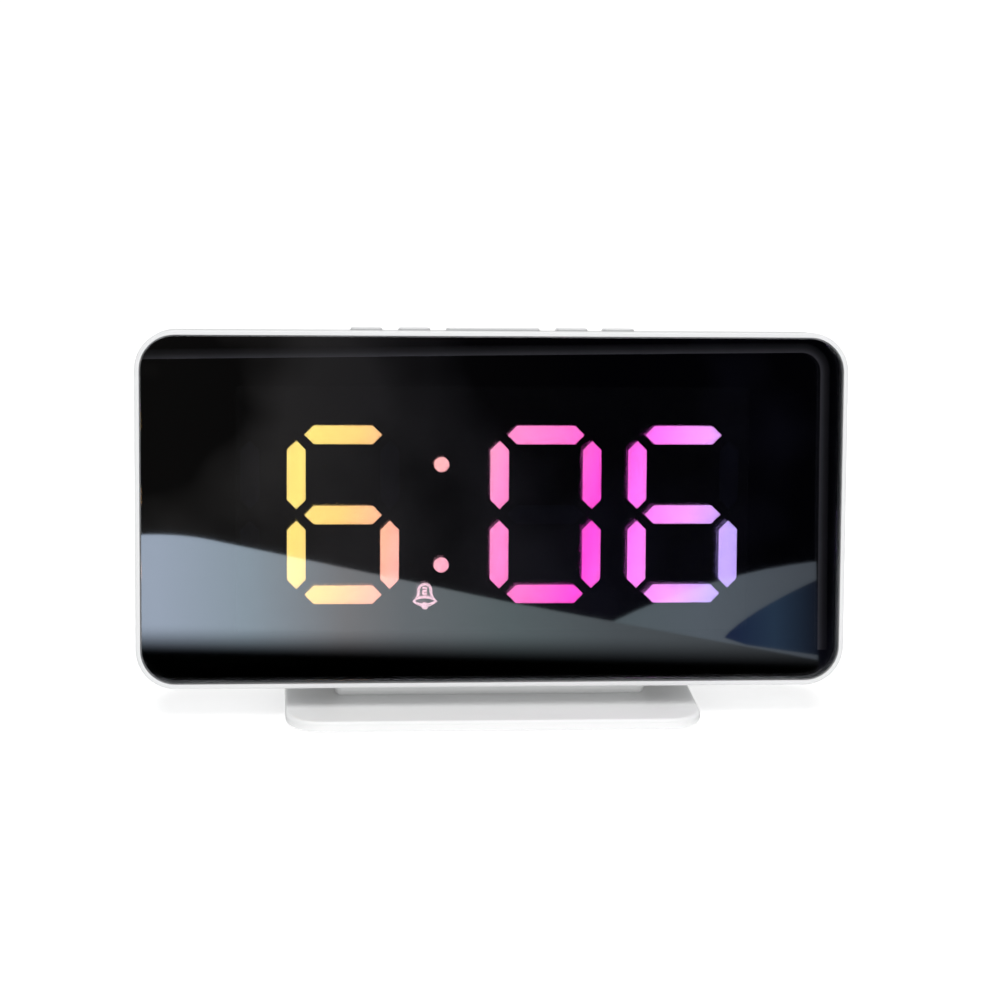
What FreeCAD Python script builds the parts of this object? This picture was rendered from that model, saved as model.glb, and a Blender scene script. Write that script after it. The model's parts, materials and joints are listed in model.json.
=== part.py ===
import FreeCAD
import Part
import math
import os

# Desk alarm clock: a shallow white case with a full-width half-mirror face, five keys on
# its top, and a flat stand whose hinge barrel lets the case tilt.
# Units are millimetres. The case is drawn upright in its own coordinates (X to the right,
# Y from the face towards the back, Z up from its underside), leaned back about the hinge
# axis and set on the stand. The clock faces -Y and stands on Z = 0.

V = FreeCAD.Vector

# ---- driving dimensions of the case ----
CASE_WIDTH = 166.0
CASE_HEIGHT = 83.0
CASE_CORNER = 9.2
WALL = 1.8
FRONT_DEPTH = 14.0            # depth of the front case
TOTAL_DEPTH = 25.0            # face to back of the rear cover
REAR_TAPER = 9.0              # how far the rear cover narrows on each side
SEAM_STEP = 0.25              # the rear cover starts this much smaller
BACK_ROUND = 1.2
LIP = 1.1                     # white rim in front of the mirror
LIP_ROUND = 0.5
MID_Z = CASE_HEIGHT / 2

# ---- mirror and display ----
MIRROR_FRONT = 0.5
MIRROR_BACK = 2.5
MIRROR_GAP = 0.1
FLANGE_BACK = 4.0             # the shelf behind the mirror ends here
FILM_THICK = 0.25
LIGHT_BOX_FRONT = 2.8
BOARD_FRONT = 8.75
BOARD_BACK = 10.35
LIGHT_BOX_HALF = 60.3
LIGHT_BOX_LOW = 12.5
LIGHT_BOX_HIGH = 70.5
BOARD_HALF = 65.3
BOARD_LOW = 12.0
BOARD_HIGH = 71.6
LENS_THICK = 1.0
LENS_GAP = 0.03

# ---- digits ----
DIGIT_WIDTH = 26.0
DIGIT_HEIGHT = 41.6
STROKE = 4.3
DIGIT_MID_Z = MID_Z - 1.3
HOUR_X = -35.1
COLON_X = -12.2
MINUTE_TENS_X = 12.2
MINUTE_X = 44.6
HOUR_TENS_X = HOUR_X - (MINUTE_X - MINUTE_TENS_X)
SEGMENT_LONG = 17.95          # tip to tip, lying segments
SEGMENT_TALL = 15.9           # tip to tip, upright segments
DOT_RADIUS = 1.75
DOT_SPACING = 23.5
BELL_X = -16.0
BELL_Z = MID_Z - 20.3
BELL_LINE = 0.6                # width of the icon's drawn line
CLAPPER_RADIUS = 0.8
CLAPPER_DROP = 2.4

# ---- keys ----
KEY_Y = 8.5                   # middle of the key row, from the face
KEY_DEPTH = 4.8
KEY_PROUD = 0.65
KEY_GAP = 0.25
KEY_TRAVEL = 0.45
SMALL_KEY = 7.3
SNOOZE_KEY = 21.8
KEYS = {"hour_key": (-29.6, SMALL_KEY), "minute_key": (-18.4, SMALL_KEY),
        "snooze_key": (0.0, SNOOZE_KEY), "alarm_key": (18.5, SMALL_KEY),
        "set_key": (29.5, SMALL_KEY)}
KEY_FLANGE_TOP = CASE_HEIGHT - WALL - 0.15
KEY_FLANGE_THICK = 0.8
PLUNGER_TOP = 78.2
KEY_BOARD_TOP = 75.8
KEY_BOARD_THICK = 1.2
KEY_BOARD_HALF = 40.0
KEY_BOARD_Y = (4.6, 12.4)
KEY_POST_X = 36.5
SWITCH_SIZE = 4.6
SWITCH_TALL = 1.8
PLUNGER_RADIUS = 0.9

# ---- screws: positions as (x, z) seen from the front ----
CASE_SCREWS = [(sx * 69.5, z) for sx in (-1, 1) for z in (13.0, 70.0)]
BOARD_SCREWS = [(sx * 63.0, z) for sx in (-1, 1) for z in (17.0, 66.0)]
CASE_SCREW_SEAT = 19.5

# ---- battery bay in the rear cover ----
CELL_RADIUS = 5.25
CELL_LENGTH = 44.5
CELL_NUB = 1.1
CELL_PITCH = 11.2
BAY_X = (-63.5, -13.5)
BAY_Z = (22.2, 59.8)
BAY_FLOOR = 12.2
BAY_WALL = 1.2
BAY_MID_Z = (BAY_Z[0] + BAY_Z[1]) / 2
DOOR_OPENING_X = (-62.9, -14.1)
DOOR_OPENING_Z = (24.5, 57.8)
DOOR_GAP = 0.3
DOOR_INSIDE = 23.3
DOOR_TABS = (-49.0, -28.0)
PLATE_THICK = 0.4

# ---- speaker and power jack ----
SPEAKER_X = 47.0
SPEAKER_Z = MID_Z
SPEAKER_RADIUS = 14.0
JACK_X = 12.0
JACK_Z = 24.0
JACK_SIZE = 9.0
JACK_BORE = 2.8
JACK_NOSE = 3.4

# ---- hinge ----
LEAN = 10.0                   # degrees the case leans back at rest
AXIS_Y = 11.0                 # hinge axis in case coordinates
AXIS_Z = 2.0
BARREL_RADIUS = 5.5
BARREL_HALF = 37.0
POCKET_RADIUS = 5.8
POCKET_HALF = 38.0
PIN_RADIUS = 1.5
PIN_RUNNING_GAP = 0.06
PIN_X = (24.0, 46.0)
BRACKET_HALF = 47.0
BRACKET_Y = (4.2, 18.2)
BRACKET_TOP = 10.3
BRACKET_GAP = 0.15

# ---- stand ----
BASE_WIDTH = 97.0
BASE_DEPTH = 46.6
BASE_CORNER = 8.0
BASE_ROUND = 0.9
BASE_UNDER_ROUND = 0.4
BASE_OVERHANG = 10.8          # plate in front of the case's lower front edge
FOOT_HEIGHT = 0.4
FOOT_RECESS = 0.3
BASE_TOP = 2.7
BASE_WALL = 0.9
FRONT_GAP = 4.5               # plate to the case's lower front edge
BASE_FLOOR = 0.7
BOSS_RADIUS = 1.9
HEAD_SINK = 0.45              # depth of the screw heads' pockets in the underside
FEET = [(sx * 38.0, sy * 14.5) for sx in (-1, 1) for sy in (-1, 1)]
BASE_SCREWS = [(sx * 27.0, sy * 14.5) for sx in (-1, 1) for sy in (-1, 1)]

LEAN_SIN = math.sin(math.radians(LEAN))
LEAN_COS = math.cos(math.radians(LEAN))
AXIS_HEIGHT = BASE_TOP + FRONT_GAP - AXIS_Y * LEAN_SIN + AXIS_Z * LEAN_COS
CASE_FRONT_EDGE = -AXIS_Y * LEAN_COS - AXIS_Z * LEAN_SIN
BASE_MID_Y = CASE_FRONT_EDGE - BASE_OVERHANG + BASE_DEPTH / 2


# ---- helpers ----
def box(x0, x1, y0, y1, z0, z1):
    return Part.makeBox(x1 - x0, y1 - y0, z1 - z0, V(x0, y0, z0))


def rod_x(radius, x0, x1, y, z):
    return Part.makeCylinder(radius, x1 - x0, V(x0, y, z), V(1, 0, 0))


def rod_y(radius, y0, y1, x, z):
    return Part.makeCylinder(radius, y1 - y0, V(x, y0, z), V(0, 1, 0))


def rod_z(radius, z0, z1, x, y):
    return Part.makeCylinder(radius, z1 - z0, V(x, y, z0), V(0, 0, 1))


def union(shapes):
    return shapes[0].multiFuse(shapes[1:]).removeSplitter()


def polygon(points):
    return Part.Face(Part.makePolygon(points + points[:1]))


def rounded_wire(width, height, radius, at):
    # Rounded rectangle round the Z axis, in the plane Z = 0, lifted and moved by at.
    hx, hy = width / 2, height / 2
    k = radius * (1 - math.sqrt(0.5))
    sides = []
    for sx, sy in ((1, 1), (-1, 1), (-1, -1), (1, -1)):
        end_y = V(sx * hx, sy * (hy - radius), 0)
        middle = V(sx * (hx - k), sy * (hy - k), 0)
        end_x = V(sx * (hx - radius), sy * hy, 0)
        ends = (end_y, end_x) if sx * sy > 0 else (end_x, end_y)
        sides.append((ends[0], middle, ends[1]))
    edges = []
    for i, (start, middle, end) in enumerate(sides):
        edges.append(Part.Arc(start, middle, end).toShape())
        edges.append(Part.LineSegment(end, sides[(i + 1) % 4][0]).toShape())
    wire = Part.Wire(edges)
    wire.translate(at)
    return wire


def upright_wire(width, height, radius, y, mid_z=MID_Z):
    # The same outline standing in the XZ plane at depth y.
    wire = rounded_wire(width, height, radius, V(0, 0, 0))
    wire.rotate(V(0, 0, 0), V(1, 0, 0), 90)
    wire.translate(V(0, y, mid_z))
    return wire


def upright_slab(width, height, radius, y0, y1, mid_z=MID_Z):
    return Part.Face(upright_wire(width, height, radius, y0, mid_z)).extrude(V(0, y1 - y0, 0))


def flat_slab(width, depth, radius, z0, z1, x=0.0, y=0.0):
    return Part.Face(rounded_wire(width, depth, radius, V(x, y, z0))).extrude(V(0, 0, z1 - z0))


def edges_at(shape, y=None, z=None):
    found = []
    for edge in shape.Edges:
        bounds = edge.BoundBox
        if y is not None and abs(bounds.YMin - y) + abs(bounds.YMax - y) < 1e-4:
            found.append(edge)
        if z is not None and abs(bounds.ZMin - z) + abs(bounds.ZMax - z) < 1e-4:
            found.append(edge)
    return found


def screw_y(seat, tip, x, z, shank, head, head_tall):
    # A screw whose head sits on the plane Y = seat and whose tip points to the face.
    body = rod_y(shank, tip, seat, x, z)
    cap = rod_y(head, seat, seat + head_tall, x, z)
    slot = box(x - head * 0.6, x + head * 0.6, seat + head_tall * 0.55, seat + head_tall + 1,
               z - 0.25, z + 0.25)
    cross = slot.copy()
    cross.rotate(V(x, seat, z), V(0, 1, 0), 90)
    return union([body, cap]).cut(slot).cut(cross)


# ---- case ----
def taper(y):
    share = max(0.0, (y - FRONT_DEPTH) / (TOTAL_DEPTH - FRONT_DEPTH))
    return SEAM_STEP + REAR_TAPER * share ** 1.3


def rear_loft(inset, y_end):
    steps = 10
    wires = []
    for i in range(steps + 1):
        y = FRONT_DEPTH + (y_end - FRONT_DEPTH) * i / steps
        shrink = taper(y) + inset
        radius = CASE_CORNER - inset * 0.5 - 0.1 * taper(y)
        wires.append(upright_wire(CASE_WIDTH - 2 * shrink, CASE_HEIGHT - 2 * shrink, radius, y))
    return Part.makeLoft(wires, True, True)


def outer_front():
    block = upright_slab(CASE_WIDTH, CASE_HEIGHT, CASE_CORNER, 0, FRONT_DEPTH)
    return block.makeFillet(LIP_ROUND, edges_at(block, y=0))


def bracket_room():
    return box(-BRACKET_HALF - BRACKET_GAP, BRACKET_HALF + BRACKET_GAP,
               BRACKET_Y[0] - BRACKET_GAP, BRACKET_Y[1] + BRACKET_GAP, -1, BRACKET_TOP + BRACKET_GAP)


def front_case():
    rim = CASE_CORNER - LIP
    body = outer_front()
    body = body.cut(upright_slab(CASE_WIDTH - 2 * LIP, CASE_HEIGHT - 2 * LIP, rim, -1, MIRROR_BACK))
    inner_corner = CASE_CORNER - WALL
    body = body.cut(upright_slab(CASE_WIDTH - 2 * WALL, CASE_HEIGHT - 2 * WALL, inner_corner,
                                 FLANGE_BACK, FRONT_DEPTH + 1))
    edge = 0.3
    body = body.cut(box(-LIGHT_BOX_HALF - edge, LIGHT_BOX_HALF + edge, 0, FLANGE_BACK + 1,
                        LIGHT_BOX_LOW - edge, LIGHT_BOX_HIGH + edge))
    for x, z in CASE_SCREWS:
        body = body.fuse(rod_y(2.9, FLANGE_BACK, FRONT_DEPTH - 0.1, x, z))
    for x, z in BOARD_SCREWS:
        body = body.fuse(rod_y(2.2, FLANGE_BACK, BOARD_FRONT, x, z))
    for sx in (-1, 1):
        body = body.fuse(rod_z(2.0, KEY_BOARD_TOP, CASE_HEIGHT - WALL, sx * KEY_POST_X, KEY_Y))
    for x, z in CASE_SCREWS:
        body = body.cut(rod_y(1.27, FLANGE_BACK + 2, FRONT_DEPTH, x, z))
    for x, z in BOARD_SCREWS:
        body = body.cut(rod_y(0.92, FLANGE_BACK + 0.4, BOARD_FRONT, x, z))
    for sx in (-1, 1):
        body = body.cut(rod_z(0.82, KEY_BOARD_TOP, CASE_HEIGHT - WALL, sx * KEY_POST_X, KEY_Y))
    for x, width in KEYS.values():
        body = body.cut(flat_slab(width + 2 * KEY_GAP, KEY_DEPTH + 2 * KEY_GAP, 1.2,
                                  CASE_HEIGHT - WALL - 1, CASE_HEIGHT + 1, x, KEY_Y))
    return body.cut(bracket_room()).removeSplitter()


def mirror_panel():
    shrink = 2 * (LIP + MIRROR_GAP)
    panel = upright_slab(CASE_WIDTH - shrink, CASE_HEIGHT - shrink, CASE_CORNER - LIP - MIRROR_GAP,
                         MIRROR_FRONT, MIRROR_BACK)
    return panel.makeChamfer(0.25, edges_at(panel, y=MIRROR_FRONT))


def colour_film():
    return box(-LIGHT_BOX_HALF, LIGHT_BOX_HALF, MIRROR_BACK + 0.02, MIRROR_BACK + 0.02 + FILM_THICK,
               LIGHT_BOX_LOW, LIGHT_BOX_HIGH)


# ---- display ----
def bar(x, z, length, upright, depth0, depth1, stroke=STROKE, grow=0.0):
    # One segment: a bar with pointed ends, cut at 45 degrees.
    half = length / 2 + grow
    thick = stroke / 2 + grow
    outline = [(-half, 0), (-half + thick, thick), (half - thick, thick),
               (half, 0), (half - thick, -thick), (-half + thick, -thick)]
    if upright:
        outline = [(b, a) for a, b in outline]
    face = polygon([V(x + a, depth0, z + b) for a, b in outline])
    return face.extrude(V(0, depth1 - depth0, 0))


def segment_places(x):
    side = (DIGIT_WIDTH - STROKE) / 2
    rise = (DIGIT_HEIGHT - STROKE) / 2
    z = DIGIT_MID_Z
    return {"a": (x, z + rise, False), "g": (x, z, False), "d": (x, z - rise, False),
            "b": (x + side, z + rise / 2, True), "c": (x + side, z - rise / 2, True),
            "f": (x - side, z + rise / 2, True), "e": (x - side, z - rise / 2, True)}


DIGITS = {"hour_segments": (HOUR_X, "acdefg"), "minute_tens_segments": (MINUTE_TENS_X, "abcdef"),
          "minute_segments": (MINUTE_X, "acdefg")}
DARK = [(HOUR_TENS_X, "bc"), (HOUR_X, "b"), (MINUTE_TENS_X, "g"), (MINUTE_X, "b")]


def segments(x, letters, depth0, depth1, grow=0.0):
    solids = []
    places = segment_places(x)
    for letter in letters:
        sx, sz, upright = places[letter]
        length = SEGMENT_TALL if upright else SEGMENT_LONG
        solids.append(bar(sx, sz, length, upright, depth0, depth1, STROKE, grow))
    return solids


def dots(depth0, depth1, grow=0.0):
    return [rod_y(DOT_RADIUS + grow, depth0, depth1, COLON_X, DIGIT_MID_Z + s * DOT_SPACING / 2)
            for s in (-1, 1)]


def bell_outline(grow):
    # Dome, flared sides and a bowed mouth, seen from the front. The drawn line is centred on
    # this outline when grow is 0.
    dome = 1.45 + grow
    shoulder = 1.3
    rim = 2.65 + grow
    foot = -1.25
    waist = V(1.72 + grow, 0, -0.15)
    top = Part.Arc(V(-dome, 0, shoulder), V(0, 0, shoulder + dome), V(dome, 0, shoulder))
    right = Part.Arc(V(dome, 0, shoulder), waist, V(rim, 0, foot))
    mouth = Part.Arc(V(rim, 0, foot), V(0, 0, foot - 1.0 - grow), V(-rim, 0, foot))
    left = Part.Arc(V(-rim, 0, foot), V(-waist.x, 0, waist.z), V(-dome, 0, shoulder))
    return Part.Face(Part.Wire([arc.toShape() for arc in (top, right, mouth, left)]))


def mouth_line():
    # The near edge of the bell's mouth: a thin crescent that bows upwards.
    reach = 2.65
    foot = -1.25
    rise = 0.95
    upper = Part.Arc(V(-reach, 0, foot), V(0, 0, foot + rise + BELL_LINE / 2), V(reach, 0, foot))
    lower = Part.Arc(V(reach, 0, foot), V(0, 0, foot + rise - BELL_LINE / 2), V(-reach, 0, foot))
    return Part.Face(Part.Wire([upper.toShape(), lower.toShape()]))


def bell_at(face, depth0, depth1):
    solid = face.extrude(V(0, depth1 - depth0, 0))
    solid.translate(V(BELL_X, depth0, BELL_Z))
    return solid


def clapper(grow, depth0, depth1):
    return rod_y(CLAPPER_RADIUS + grow, depth0, depth1, BELL_X, BELL_Z - CLAPPER_DROP)


def bell_window(depth0, depth1):
    outline = bell_outline(BELL_LINE / 2 + LENS_GAP)
    return union([bell_at(outline, depth0, depth1), clapper(LENS_GAP, depth0, depth1)])


def alarm_bell_icon():
    depth0, depth1 = LIGHT_BOX_FRONT, LIGHT_BOX_FRONT + LENS_THICK
    shell = bell_at(bell_outline(BELL_LINE / 2), depth0, depth1)
    shell = shell.cut(bell_at(bell_outline(-BELL_LINE / 2), depth0 - 1, depth1 + 1))
    outline = union([shell, bell_at(mouth_line(), depth0, depth1), clapper(0, depth0, depth1)])
    half_w, half_h, thick = 0.52, 0.7, 0.15
    z = BELL_Z + 1.15
    strokes = []
    for level in (-1, 0, 1):
        strokes.append(box(BELL_X - half_w, BELL_X + half_w, depth0, depth1,
                           z + level * half_h - thick, z + level * half_h + thick))
    strokes.append(box(BELL_X + half_w - 2 * thick, BELL_X + half_w, depth0, depth1, z, z + half_h))
    strokes.append(box(BELL_X - half_w, BELL_X - half_w + 2 * thick, depth0, depth1, z - half_h, z))
    return Part.makeCompound([outline, union(strokes)])


def light_box():
    block = box(-LIGHT_BOX_HALF, LIGHT_BOX_HALF, LIGHT_BOX_FRONT, BOARD_FRONT,
                LIGHT_BOX_LOW, LIGHT_BOX_HIGH)
    front, back = LIGHT_BOX_FRONT - 1, BOARD_FRONT + 1
    cells = dots(front, back, LENS_GAP) + [bell_window(front, back)]
    for x, letters in list(DIGITS.values()) + DARK:
        cells += segments(x, letters, front, back, LENS_GAP)
    return block.cut(Part.makeCompound(cells))


def segment_leds():
    # Two LEDs behind each segment, one behind each dot and one behind the bell.
    wide, tall, high = 1.6, 0.8, 0.7
    spots = [(BELL_X, BELL_Z)]
    spots += [(COLON_X, DIGIT_MID_Z + s * DOT_SPACING / 2) for s in (-1, 1)]
    for x, letters in list(DIGITS.values()) + DARK:
        for letter in letters:
            sx, sz, upright = segment_places(x)[letter]
            step = (0, SEGMENT_TALL / 4) if upright else (SEGMENT_LONG / 4, 0)
            spots += [(sx + s * step[0], sz + s * step[1]) for s in (-1, 1)]
    return Part.makeCompound([box(x - wide / 2, x + wide / 2, BOARD_FRONT - high, BOARD_FRONT,
                                  z - tall / 2, z + tall / 2) for x, z in spots])


def display_board():
    board = box(-BOARD_HALF, BOARD_HALF, BOARD_FRONT, BOARD_BACK, BOARD_LOW, BOARD_HIGH)
    for x, z in BOARD_SCREWS:
        board = board.cut(rod_y(1.2, 0, TOTAL_DEPTH, x, z))
    return board


def board_screws():
    return Part.makeCompound([screw_y(BOARD_BACK, FLANGE_BACK + 0.6, x, z, 0.9, 1.9, 1.3)
                              for x, z in BOARD_SCREWS])


def chip(x, z, wide, tall, high, legs):
    # A flat package with a row of legs on its two upright sides.
    body = box(x - wide / 2, x + wide / 2, BOARD_BACK + 0.15, BOARD_BACK + high, z - tall / 2, z + tall / 2)
    parts = [body]
    for side in (-1, 1):
        for i in range(legs):
            leg_z = z + (i - (legs - 1) / 2) * tall * 0.9 / legs
            x_near = x + side * wide / 2
            x_far = x_near + side * 1.0
            parts.append(box(min(x_near, x_far), max(x_near, x_far), BOARD_BACK, BOARD_BACK + 0.5,
                             leg_z - 0.2, leg_z + 0.2))
    return union(parts)


def filter_capacitor():
    x, z = 26.0, 20.0
    can = rod_y(3.15, BOARD_BACK + 0.8, BOARD_BACK + 6.6, x, z)
    seat = box(x - 3.3, x + 3.3, BOARD_BACK, BOARD_BACK + 0.8, z - 3.3, z + 3.3)
    return union([can, seat])


def clock_crystal():
    x, z = 36.0, 62.0
    return rod_x(1.0, x - 3.0, x + 3.0, BOARD_BACK + 1.0, z)


# ---- keys ----
def key_cap(x, width):
    crown = flat_slab(width, KEY_DEPTH, 1.0, KEY_FLANGE_TOP, CASE_HEIGHT + KEY_PROUD, x, KEY_Y)
    crown = crown.makeFillet(0.4, edges_at(crown, z=CASE_HEIGHT + KEY_PROUD))
    flange = flat_slab(width + 1.6, KEY_DEPTH + 1.6, 1.2, KEY_FLANGE_TOP - KEY_FLANGE_THICK,
                       KEY_FLANGE_TOP, x, KEY_Y)
    stem = rod_z(1.4, PLUNGER_TOP, KEY_FLANGE_TOP - KEY_FLANGE_THICK, x, KEY_Y)
    return union([crown, flange, stem])


def key_plunger(x):
    return rod_z(PLUNGER_RADIUS, PLUNGER_TOP - 1.05, PLUNGER_TOP, x, KEY_Y)


def tact_switches():
    half = SWITCH_SIZE / 2
    solids = []
    for x, _ in KEYS.values():
        body = box(x - half, x + half, KEY_Y - half, KEY_Y + half, KEY_BOARD_TOP,
                   KEY_BOARD_TOP + SWITCH_TALL)
        well = rod_z(PLUNGER_RADIUS + 0.06, KEY_BOARD_TOP + 0.8, KEY_BOARD_TOP + 4, x, KEY_Y)
        solids.append(body.cut(well))
    return Part.makeCompound(solids)


def key_board():
    board = box(-KEY_BOARD_HALF, KEY_BOARD_HALF, KEY_BOARD_Y[0], KEY_BOARD_Y[1],
                KEY_BOARD_TOP - KEY_BOARD_THICK, KEY_BOARD_TOP)
    for sx in (-1, 1):
        board = board.cut(rod_z(1.0, 0, CASE_HEIGHT, sx * KEY_POST_X, KEY_Y))
    return board


def key_board_screws():
    underside = KEY_BOARD_TOP - KEY_BOARD_THICK
    solids = []
    for sx in (-1, 1):
        x = sx * KEY_POST_X
        shank = rod_z(0.8, underside, underside + 5.0, x, KEY_Y)
        solids.append(union([shank, rod_z(1.6, underside - 1.0, underside, x, KEY_Y)]))
    return Part.makeCompound(solids)


RIBBON_X = (10.0, 18.0)
RIBBON_THICK = 0.3
RIBBON_Y = 11.6
RIBBON_BEND = 1.3
CONNECTOR_TOP = 67.0


def key_ribbon():
    # Flat cable: forward under the key board, one bend, then down into its connector.
    half = RIBBON_THICK / 2
    level = KEY_BOARD_TOP - KEY_BOARD_THICK - half
    start_y = 8.0
    bend_y = RIBBON_Y - RIBBON_BEND
    bend_z = level - RIBBON_BEND
    wires = []
    for side in (1, -1):
        radius = RIBBON_BEND + side * half
        diagonal = radius * math.sqrt(0.5)
        arc = Part.Arc(V(0, bend_y, bend_z + radius), V(0, bend_y + diagonal, bend_z + diagonal),
                       V(0, bend_y + radius, bend_z)).toShape()
        run = Part.LineSegment(V(0, start_y, level + side * half), V(0, bend_y, level + side * half))
        drop = Part.LineSegment(V(0, bend_y + radius, bend_z), V(0, bend_y + radius, CONNECTOR_TOP))
        wires.append([run.toShape(), arc, drop.toShape()])
    start = Part.LineSegment(V(0, start_y, level - half), V(0, start_y, level + half)).toShape()
    end = Part.LineSegment(V(0, RIBBON_Y - half, CONNECTOR_TOP), V(0, RIBBON_Y + half, CONNECTOR_TOP))
    outline = Part.Wire(Part.__sortEdges__(wires[0] + wires[1] + [start, end.toShape()]))
    ribbon = Part.Face(outline).extrude(V(RIBBON_X[1] - RIBBON_X[0], 0, 0))
    ribbon.translate(V(RIBBON_X[0], 0, 0))
    return ribbon


def ribbon_connector():
    return box(RIBBON_X[0] - 1, RIBBON_X[1] + 1, BOARD_BACK, BOARD_BACK + 2.4,
               CONNECTOR_TOP - 3, CONNECTOR_TOP)


# ---- rear cover, battery bay and door ----
def screw_pillars():
    return [rod_y(3.2, FRONT_DEPTH, TOTAL_DEPTH - 0.5, x, z) for x, z in CASE_SCREWS]


def locating_rim():
    corner = CASE_CORNER - WALL
    outer = upright_slab(CASE_WIDTH - 2 * WALL - 0.2, CASE_HEIGHT - 2 * WALL - 0.2, corner - 0.1,
                         FRONT_DEPTH - 1.6, FRONT_DEPTH + 1.5)
    inner = upright_slab(CASE_WIDTH - 2 * WALL - 2.6, CASE_HEIGHT - 2 * WALL - 2.6, corner - 1.3,
                         FRONT_DEPTH - 2, FRONT_DEPTH + 2)
    return outer.cut(inner)


def cell_centres():
    return [BAY_MID_Z + i * CELL_PITCH for i in (-1, 0, 1)]


CELL_Y = BAY_FLOOR + 0.15 + CELL_RADIUS


def battery_bay():
    outer = box(BAY_X[0] - BAY_WALL, BAY_X[1] + BAY_WALL, BAY_FLOOR - BAY_WALL, TOTAL_DEPTH - 1,
                BAY_Z[0] - BAY_WALL, BAY_Z[1] + BAY_WALL)
    ribs = [box(x - 0.6, x + 0.6, BAY_FLOOR, CELL_Y, BAY_Z[0], BAY_Z[1]) for x in (-52.0, -25.0)]
    cradle = union(ribs)
    for z in cell_centres():
        cradle = cradle.cut(rod_x(CELL_RADIUS + 0.1, BAY_X[0], BAY_X[1], CELL_Y, z))
    return outer, cradle


def rear_cover():
    outside = rear_loft(0, TOTAL_DEPTH)
    outside = outside.makeFillet(BACK_ROUND, edges_at(outside, y=TOTAL_DEPTH))
    shell = outside.cut(rear_loft(WALL, TOTAL_DEPTH - WALL))
    bay, cradle = battery_bay()
    ring = rod_y(SPEAKER_RADIUS + 1.3, TOTAL_DEPTH - 6, TOTAL_DEPTH - WALL + 0.1, SPEAKER_X, SPEAKER_Z)
    ring = ring.cut(rod_y(SPEAKER_RADIUS + 0.1, 0, TOTAL_DEPTH, SPEAKER_X, SPEAKER_Z))
    ring = ring.cut(box(SPEAKER_X - 3, SPEAKER_X + 3, 0, TOTAL_DEPTH, 0, SPEAKER_Z))
    body = union([shell, bay, ring, locating_rim()] + screw_pillars())
    body = body.cut(box(BAY_X[0], BAY_X[1], BAY_FLOOR, TOTAL_DEPTH - WALL, BAY_Z[0], BAY_Z[1]))
    body = body.fuse(cradle)
    body = body.cut(box(DOOR_OPENING_X[0], DOOR_OPENING_X[1], TOTAL_DEPTH - 3, TOTAL_DEPTH + 1,
                        DOOR_OPENING_Z[0], DOOR_OPENING_Z[1]))
    stop = box(-50, -27, DOOR_INSIDE - 1.3, TOTAL_DEPTH - WALL, DOOR_OPENING_Z[1] - 1, BAY_Z[1])
    body = body.fuse(stop)
    body = body.cut(box(-44, -33, TOTAL_DEPTH - 1, TOTAL_DEPTH + 1, DOOR_OPENING_Z[1] - 0.1,
                        DOOR_OPENING_Z[1] + 3.4))
    for x, z in CASE_SCREWS:
        body = body.cut(rod_y(1.5, FRONT_DEPTH - 1, TOTAL_DEPTH, x, z))
        body = body.cut(rod_y(2.6, CASE_SCREW_SEAT, TOTAL_DEPTH + 1, x, z))
    body = body.cut(rod_y(JACK_NOSE + 0.15, TOTAL_DEPTH - 4, TOTAL_DEPTH + 1, JACK_X, JACK_Z))
    return body.cut(Part.makeCompound(grille_holes())).cut(bracket_room()).removeSplitter()


def grille_holes():
    holes = [rod_y(0.8, TOTAL_DEPTH - 3, TOTAL_DEPTH + 1, SPEAKER_X, SPEAKER_Z)]
    for ring, count in ((3.4, 6), (6.8, 12), (10.2, 18)):
        for i in range(count):
            angle = 2 * math.pi * i / count
            holes.append(rod_y(0.8, TOTAL_DEPTH - 3, TOTAL_DEPTH + 1,
                               SPEAKER_X + ring * math.cos(angle), SPEAKER_Z + ring * math.sin(angle)))
    return holes


def battery_door():
    x0, x1 = DOOR_OPENING_X[0] + DOOR_GAP, DOOR_OPENING_X[1] - DOOR_GAP
    z0, z1 = DOOR_OPENING_Z[0] + DOOR_GAP, DOOR_OPENING_Z[1] - DOOR_GAP
    parts = [box(x0, x1, DOOR_INSIDE, TOTAL_DEPTH, z0, z1)]
    for x in DOOR_TABS:
        parts.append(box(x - 3, x + 3, DOOR_INSIDE - 1.1, DOOR_INSIDE, z0 + 0.3, z0 + 1.2))
        parts.append(box(x - 3, x + 3, DOOR_INSIDE - 1.1, DOOR_INSIDE - 0.3,
                         DOOR_OPENING_Z[0] - 1.8, z0 + 0.3))
    door = union(parts)
    for i in range(4):
        z = z1 - 2.6 - 1.6 * i
        door = door.cut(box(-43.5, -33.5, TOTAL_DEPTH - 0.4, TOTAL_DEPTH + 1, z - 0.35, z + 0.35))
    return door


def cell_direction(index):
    # Neighbouring cells lie the opposite way round.
    return 1 if index % 2 == 0 else -1


def battery_cells():
    solids = []
    for index, z in enumerate(cell_centres()):
        way = cell_direction(index)
        length = CELL_LENGTH - CELL_NUB
        plus = BAY_X[1] - PLATE_THICK if way > 0 else BAY_X[0] + PLATE_THICK
        shoulder = plus - way * CELL_NUB
        tail = shoulder - way * length
        can = rod_x(CELL_RADIUS, min(tail, shoulder), max(tail, shoulder), CELL_Y, z)
        nub = rod_x(1.9, min(shoulder, plus), max(shoulder, plus), CELL_Y, z)
        solids.append(union([can, nub]))
    return Part.makeCompound(solids)


def battery_contact_plates():
    solids = []
    for z in cell_centres():
        for x0, x1 in ((BAY_X[0], BAY_X[0] + PLATE_THICK), (BAY_X[1] - PLATE_THICK, BAY_X[1])):
            solids.append(box(x0, x1, CELL_Y - 4.2, CELL_Y + 4.2, z - 4.2, z + 4.2))
    return Part.makeCompound(solids)


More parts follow.
